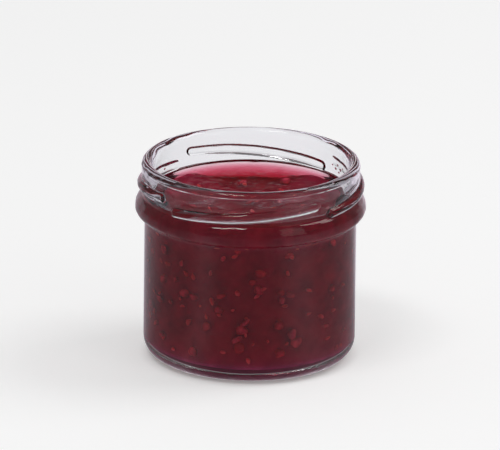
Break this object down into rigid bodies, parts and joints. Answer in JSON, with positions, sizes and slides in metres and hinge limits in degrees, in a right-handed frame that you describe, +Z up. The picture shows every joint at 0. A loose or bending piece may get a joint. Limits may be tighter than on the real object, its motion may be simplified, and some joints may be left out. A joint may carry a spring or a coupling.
{
  "type": "jam jar",
  "caption": "Low clear glass jam jar, open, with a twist-off lug neck over a thick bead, filled with glossy dark red berry jam that shows seeds.",
  "frame": {"origin": "middle of the base, on the table", "axes": "+Z up along the jar's axis, -Y towards the viewer through the middle of one lug, +X to the viewer's right"},
  "size_m": [0.0666, 0.0664, 0.0584],
  "materials": {
    "jar_glass": "clear, fire-polished",
    "jam": "wet gloss"
  },
  "bodies": {
    "root": {"jar_glass": "jar_glass", "jam": "jam"}
  },
  "joints": []
}
